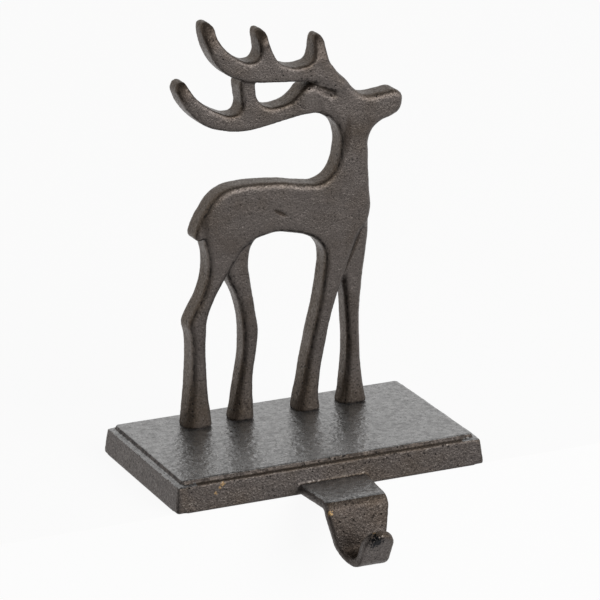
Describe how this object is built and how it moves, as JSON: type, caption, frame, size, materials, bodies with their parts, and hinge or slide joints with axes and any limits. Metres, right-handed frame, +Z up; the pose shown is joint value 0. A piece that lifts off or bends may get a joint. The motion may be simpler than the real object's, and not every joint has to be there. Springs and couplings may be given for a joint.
{
  "type": "mantel stocking holder",
  "caption": "Cast-iron reindeer standing on a stepped rectangular base whose front edge runs out into a hook that hangs a stocking from a mantel shelf.",
  "frame": {"origin": "middle of the underside of the base, which lies on the shelf", "axes": "+Z up, -Y the hook side that faces the room, +X the way the reindeer looks"},
  "size_m": [0.14, 0.1256, 0.2081],
  "materials": {
    "base_iron": "sand-cast, brown-grey lacquer, top ground semi-gloss",
    "reindeer_iron": "sand-cast, brown-grey lacquer",
    "screw_steel": "zinc-plated"
  },
  "bodies": {
    "root": {"base": "base_iron", "reindeer": "reindeer_iron", "figure_screws": "screw_steel"}
  },
  "joints": []
}
